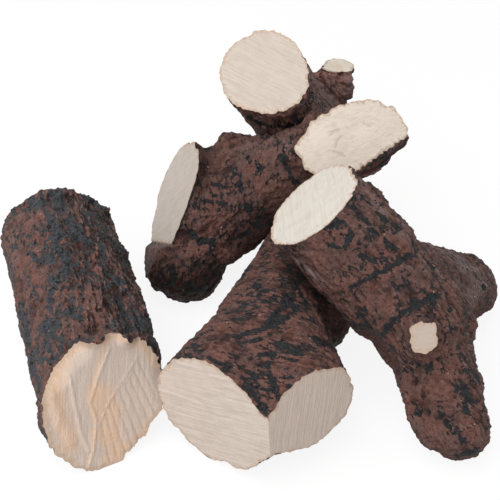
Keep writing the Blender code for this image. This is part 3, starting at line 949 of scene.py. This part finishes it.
BACK_MARKS = {
    "charred": (
        (2.5, 1.3, 283, 157, 288, 170, 294, 183), (2.5, 1, 257, 165, 256, 175),
        (2.5, 1, 228, 160, 236, 165, 234, 175), (2.5, 1, 240, 185, 244, 195),
        (2.5, 1, 215, 183, 225, 188), (2.5, 1, 205, 201, 225, 204),
        (5, 0.9, 245, 205, 262, 212, 258, 225, 245, 222), (3, 1, 250, 230, 235, 240, 240, 248),
        (3, 1, 190, 232, 200, 243, 212, 240), (4, 1, 160, 262, 175, 270, 172, 285),
        (6, 1, 190, 290, 215, 290), (4, 1, 210, 144, 205, 155),
        (2, 1.2, 198, 180, 190, 200, 180, 225, 174, 242), (7, -1, 255, 150, 272, 152),
        (5, -0.8, 226, 217), (6, -0.7, 270, 192, 225, 150),
    ),
    "swells": (
        (7, 2.5, 226, 138), (11, 6, 193, 156, 192, 166, 188, 180),
        (9, 3, 183, 192, 178, 208, 172, 226, 168, 240), (8, 3.5, 190, 144, 202, 148, 212, 145),
        (9, 3.5, 225, 138, 240, 138, 254, 142), (11, 7, 228, 256, 245, 243, 262, 230), (5, 1.8, 260, 141),
        (8, 2, 299, 150, 301, 138), (9, 5.5, 309, 124, 320, 114, 332, 107),
        (8, 3, 366, 166, 385, 156, 400, 143), (8, 3.5, 404, 130, 401, 138),
        (9, 3.6, 152, 250, 151, 272, 156, 284), (8, -1.8, 385, 104),
        (8, -4, 166, 172, 158, 192, 155, 215),
    ),
    "dusted": ((12, 0.45, 245, 150, 285, 145), (5, 0.5, 156, 244, 170, 245),),
    # painted_shade: painted shade over the log's low front and in two shaded hollows
    "painted_shade": (
        (30, 1.25, 165, 292, 195, 297, 235, 274, 267, 235), (14, 0.6, 205, 152, 200, 180),
        (16, 0.6, 318, 170, 290, 195),
    ),
    "hidden_swells": ((14, 6, 372, 168, 385, 160, 396, 148),),
}

TOP_MARKS = {
    "swells": (
        (10, 1.2, 326, 72, 350, 72), (9, 1.8, 225, 78, 230, 96), (9, 1.5, 250, 32, 275, 34, 296, 48),
        (6, 4.5, 347, 80, 348, 95), (8, 2.5, 288, 112, 300, 100, 306, 88), (8, 3, 238, 112, 248, 126),
    ),
    # painted_shade: painted shade in a crease by the stub and along the log's lower side
    "painted_shade": ((3, 0.8, 321, 77, 330, 91, 339, 99), (14, 0.5, 252, 118, 275, 128, 300, 118),),
    # dusted: painted light along the ridge and over the right side, which the key lamp leaves dim
    "dusted": (
        (5, 2.2, 309, 68, 314, 78, 322, 90, 333, 104), (9, 0.9, 314, 96, 324, 106),
        (6, 1.1, 348, 78, 347, 98), (5, 0.7, 334, 80, 338, 90),
    ),
    "tanned": ((4, 1, 242, 108, 258, 115, 275, 116, 290, 112), (12, 0.7, 338, 66),),
    "charred": (
        (9, -1.3, 328, 82, 350, 78, 346, 98), (5, 0.8, 250, 118, 275, 128, 300, 122),
        (9, -1.2, 312, 75, 322, 92, 334, 104), (9, -1.2, 338, 80, 345, 95), (6, -1, 335, 85, 345, 95),
        (4, -1, 312, 72, 328, 92),
    ),
}

RIGHT_MARKS = {
    "charred": (
        (2.2, 1.2, 325, 228, 345, 222, 352, 235, 345, 248, 330, 245, 322, 240),
        (2, 1.2, 352, 207, 366, 220), (2.2, 1.1, 372, 230, 386, 240, 397, 250),
        (2.4, 1.2, 410, 255, 395, 265, 375, 275, 350, 288), (2, 1.1, 360, 254, 375, 262),
        (2.8, 1.6, 438, 295, 420, 303, 405, 312, 390, 325, 380, 337),
        (2, 1.1, 447, 318, 451, 330, 443, 342),
        (2.5, 0.7, 350, 185, 380, 215, 410, 240, 430, 265, 445, 290, 450, 310),
        (3, 1, 470, 270, 485, 287), (3, 0.9, 430, 365, 425, 377), (3, 1, 440, 415, 455, 430, 463, 442),
        (3, 1, 466, 390, 466, 412), (3, 0.9, 413, 403, 420, 415), (5, 1, 458, 456, 475, 452),
        (2, 0.8, 300, 265, 312, 280), (6, -0.7, 345, 210, 358, 238), (5, -0.7, 395, 232, 372, 248),
        (10, -0.9, 372, 300), (9, -1, 422, 277), (6, -0.8, 343, 265, 315, 255),
        (6, -0.9, 440, 348, 420, 358), (6, -0.8, 395, 340, 385, 335), (6, -0.7, 440, 390),
    ),
    "hidden_swells": ((14, -5, 370, 347, 384, 362),),
    # dusted: pale dust, and painted light on the arm, which faces away from the key lamp
    "dusted": (
        (7, 1.5, 283, 250, 300, 262, 318, 280), (4, 0.6, 330, 300, 345, 318),
        (12, 1.5, 445, 252, 468, 268, 482, 285, 470, 300),
        (5, 0.5, 365, 190, 390, 220, 420, 255, 440, 280),
    ),
    "swells": (
        (10, 2.2, 273, 232, 280, 241), (7, 1.5, 350, 172),
        (9, 4.2, 405, 388, 411, 405, 418, 425, 428, 442), (15, -8, 372, 346, 384, 362),
        (13, 5.5, 366, 190, 384, 212, 404, 234), (4.5, 2, 412, 328, 417, 322, 427, 321, 434, 328),
        (4.5, -1.4, 413, 352, 424, 355, 434, 352), (10, -2, 287, 212, 297, 194, 312, 180),
        (8, -2.5, 428, 450, 445, 458), (8, -3.5, 474, 325, 476, 345),
        (8, -2.5, 482, 370, 488, 400, 491, 415), (5, -2, 276, 244), (9, 5, 422, 240, 440, 244),
        (9, 2.5, 455, 248, 480, 262),
    ),
}

# Operators, one for each log and one for the studio

class LOGS_OT_left(bpy.types.Operator):
    """Casts the straight log on the left, with its rough split front end"""

    bl_idname = "logs.left"
    bl_label = "Left log"

    def execute(self, context):
        grain = (108, 1)
        paints = [
            bark_paint(
                "left_bark", grain, stretch=1.4, start=0.11, cover=0.6, ash=1, streaks=0.5, brown=1.5,
                ash_tone=1.35, gaps=0.85, bold=0.07),
            sawn_paint(
                "left_split_wood", LEFT_SPLIT, 75, (0.82, 0.672, 0.578), clouding=0.3, lined=0.3,
                rim_width=3 * MM),
        ]
        cuts = [
            (LEFT_SPLIT, {"lean": 0.11}, {"slope": 75, "strokes": SPLIT_RIDGES, **SPLIT_WOOD}),
            (LEFT_BACK, {}, FAINT_LINES),
        ]
        cast_log(
            "left_split_log", "left_log", grain, cuts, paints, ridges=1.5, ridge_side=(0, 20), **LEFT_MARKS)
        return {"FINISHED"}


class LOGS_OT_front(bpy.types.Operator):
    """Casts the thick log in the middle, with its two sawn stubs"""

    bl_idname = "logs.front"
    bl_label = "Front log"

    def execute(self, context):
        round_the_trunk = (163, 0)
        paints = [
            bark_paint(
                "front_bark", round_the_trunk, stretch=1.9, start=0.23, cover=0.5, ash=0.5, streaks=1.1,
                brown=1.35),
            sawn_paint("front_sawn_wood", FRONT_SAWN, 15, (0.86, 0.74, 0.65), clouding=0.35, lined=0.3),
            # The stub's darker, warmer cream is painted shade.
            sawn_paint("front_stub_wood", FRONT_STUB, 80, (0.83, 0.68, 0.585)),
        ]
        cuts = [
            (FRONT_SAWN, {}, {"slope": 15, **SAW_LINES}),
            (FRONT_STUB, {"lean": 0.04}, {"slope": 80, "wood": STUB, **FAINT_LINES}),
            (FRONT_BACK, {}, FAINT_LINES),
        ]
        cast_log(
            "front_forked_log", "front_log", round_the_trunk, cuts, paints, ridges=0.5, **FRONT_MARKS)
        return {"FINISHED"}


class LOGS_OT_back(bpy.types.Operator):
    """Casts the crooked log at the back"""

    bl_idname = "logs.back"
    bl_label = "Back log"

    def execute(self, context):
        round_the_trunk = (90, 55)
        paints = [
            bark_paint(
                "back_bark", round_the_trunk, stretch=1.5, start=0.31, cover=0.47, ash=0.4, streaks=0.6,
                brown=1.25),
            # This face's brighter cream is partly painted light.
            sawn_paint("back_sawn_wood", BACK_SAWN, 20, (1.0, 0.88, 0.755), clouding=0.1, lined=0.1),
            sawn_paint("back_stub_wood", BACK_STUB, 60, (0.80, 0.72, 0.65), clouding=0.4),
        ]
        cuts = [
            (BACK_SAWN, {}, {"strokes": BACK_PITS, **BACK_LOWER_EDGE, **PITTED}),
            (BACK_STUB, {"aside": -0.05, "lean": -0.07, "further": 1.8},
             {"slope": 60, "wood": STUB, **BACK_STUB_LOWER_EDGE, **FAINT_LINES}),
        ]
        cast_log("back_crooked_log", "back_log", (21, 22), cuts, paints, ridges=0.5, **BACK_MARKS)
        return {"FINISHED"}


class LOGS_OT_top(bpy.types.Operator):
    """Casts the log that leans at the top"""

    bl_idname = "logs.top"
    bl_label = "Top log"

    def execute(self, context):
        grain = (-132, 55)
        paints = [
            # brown 2.3 and dust 0.9 make this bark lighter than the other logs': partly painted light on
            # its right side, which the key lamp leaves dim
            bark_paint(
                "top_bark", grain, stretch=2.5, start=0.47, cover=0.47, ash=0.3, streaks=0.8, brown=2.3,
                dust=0.9),
            sawn_paint("top_sawn_wood", TOP_SAWN, -20, clouding=0.35, lined=0.5),
            sawn_paint("top_stub_wood", TOP_STUB, 0, (0.97, 0.89, 0.76), lined=0.1),
        ]
        cuts = [
            (TOP_SAWN, {}, {"slope": -20, **SAW_LINES}),
            (TOP_STUB, {}, {"wood": STUB, **FAINT_LINES}),
        ]
        cast_log(
            "top_leaning_log", "top_log", grain, cuts, paints, ridges=0.7, ridge_side=(0, 40), **TOP_MARKS)
        return {"FINISHED"}


class LOGS_OT_right(bpy.types.Operator):
    """Casts the branched log on the right, with its knot"""

    bl_idname = "logs.right"
    bl_label = "Right log"

    def execute(self, context):
        grain = (147, 36.5)
        paints = [
            bark_paint(
                "right_bark", grain, stretch=1.2, start=0.59, cover=0.44, ash=0.45, streaks=0.4, brown=1.2,
                dust=0.8),
            # This face's whiter cream is partly painted light, and the knot's darker, warmer cream painted
            # shade.
            sawn_paint("right_sawn_wood", RIGHT_SAWN, 8, (0.96, 0.90, 0.81)),
            sawn_paint("knot_wood", RIGHT_KNOT, 0, (0.66, 0.535, 0.46), lined=0.1),
        ]
        cuts = [
            (RIGHT_SAWN, {"further": 1.8}, {"slope": 8, **SAW_LINES, "height": 0.28}),
            (RIGHT_KNOT, {}, {"wood": STUB, **FAINT_LINES}),
        ]
        knot = Face(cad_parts["right_branched_log"].data, direction(*RIGHT_KNOT))
        rings = {"middle": knot.middle, **KNOT_RINGS}
        cast_log(
            "right_branched_log", "right_log", grain, cuts, paints, ridge_side=(60, 40), rings=rings,
            **RIGHT_MARKS)
        return {"FINISHED"}


class LOGS_OT_studio(bpy.types.Operator):
    """Sets the pale floor, the lamps and the camera"""

    bl_idname = "logs.studio"
    bl_label = "Studio"

    def execute(self, context):
        settings = context.scene.logs_studio
        context.scene.view_settings.view_transform = "Standard"
        target = Vector(settings.target)
        pale_floor()
        pale_sky(settings.sky)
        lamp("key_lamp", target + KEY_PLACE, target, KEY_SIZE, settings.key_power)
        lamp("fill_lamp", target + FILL_PLACE, target, FILL_SIZE, settings.fill_power)
        camera(settings)
        return {"FINISHED"}


# The studio: lamps by their place from the camera's target, and the white of the floor

KEY_PLACE = Vector((-0.45, -0.45, 1.18))
KEY_SIZE = 1.3
FILL_PLACE = Vector((-0.35, -1.05, 0.50))
FILL_SIZE = 1.1
WHITE = (1, 1, 1, 1)
FLOOR_SPAN = 4.0
FLOOR_DROP = 0.2 * MM
FLOOR_BOUNCE = (0.42, 0.42, 0.42, 1)
FLOOR_PAPER = (0.9, 0.9, 0.9, 1)
FLOOR_GLOW = 1.09
FLOOR_GLOW_SHARE = 0.8


def pale_floor():
    """A white floor that keeps the logs' soft shadows."""
    bpy.ops.object.select_all(action="DESELECT")
    bpy.ops.mesh.primitive_plane_add(size=FLOOR_SPAN)
    floor = bpy.context.active_object
    floor.name = "floor"
    floor.data.transform(Matrix.Translation((0, 0, -FLOOR_DROP)))
    paint = Paint("floor_paper")
    seen = paint.seen_rays()
    colour = paint.mix(seen, FLOOR_BOUNCE, FLOOR_PAPER)
    paint.fill(paint.shader, Base_Color=colour, Roughness=0.9, Specular_IOR_Level=0)
    glow = paint.node("ShaderNodeEmission", Color=WHITE, Strength=FLOOR_GLOW)
    paint.show(paint.times(seen, FLOOR_GLOW_SHARE), paint.shader, glow)
    floor.data.materials.append(paint.material)


def pale_sky(strength):
    """White light from all round, and plain white behind everything."""
    world = bpy.data.worlds.new("pale_sky")
    bpy.context.scene.world = world
    sky = Nodes(world)
    light = sky.fill(sky.nodes["Background"], Color=WHITE, Strength=strength)
    white = sky.node("ShaderNodeBackground", Color=WHITE, Strength=1.0)
    sky.show(sky.seen_rays(), light, white)


def lamp(name, place, target, size, power):
    data = bpy.data.lights.new(name, "AREA")
    data.shape = "SQUARE"
    data.size = size
    data.energy = power
    obj = add(name, data)
    obj.location = place
    obj.rotation_euler = (target - place).to_track_quat("-Z", "Y").to_euler()


def camera(settings):
    data = bpy.data.cameras.new("camera")
    data.lens = settings.lens
    data.sensor_width = SENSOR_WIDTH
    data.clip_end = 10
    obj = add("camera", data)
    obj.location = Sight().place
    obj.rotation_euler = (math.pi / 2 - settings.pitch, 0, 0)
    bpy.context.scene.camera = obj


class LOGS_PT_panel(bpy.types.Panel):
    """Lists the logs and the studio"""

    bl_label = "Ceramic Log Set"
    bl_idname = "LOGS_PT_panel"
    bl_space_type = "VIEW_3D"
    bl_region_type = "UI"
    bl_category = "Logs"

    def draw(self, context):
        for operator in OPERATORS:
            self.layout.operator(operator.bl_idname)
        for group in GROUPS:
            settings = getattr(context.scene, group)
            for key in settings.__annotations__:
                self.layout.prop(settings, key)


GROUPS = {
    "logs_casting": CastingSettings,
    "logs_bark": BarkSettings,
    "logs_sawn": SawnSettings,
    "logs_studio": StudioSettings,
}
OPERATORS = (LOGS_OT_left, LOGS_OT_front, LOGS_OT_back, LOGS_OT_top, LOGS_OT_right, LOGS_OT_studio)
CLASSES = (*GROUPS.values(), *OPERATORS, LOGS_PT_panel)


def register():
    for kind in CLASSES:
        bpy.utils.register_class(kind)
    for name, group in GROUPS.items():
        setattr(bpy.types.Scene, name, PointerProperty(type=group))


def unregister():
    for name in GROUPS:
        delattr(bpy.types.Scene, name)
    for kind in reversed(CLASSES):
        bpy.utils.unregister_class(kind)


def main():
    register()
    bpy.ops.logs.left()
    bpy.ops.logs.front()
    bpy.ops.logs.back()
    bpy.ops.logs.top()
    bpy.ops.logs.right()
    bpy.ops.logs.studio()


if __name__ == "__main__":
    main()
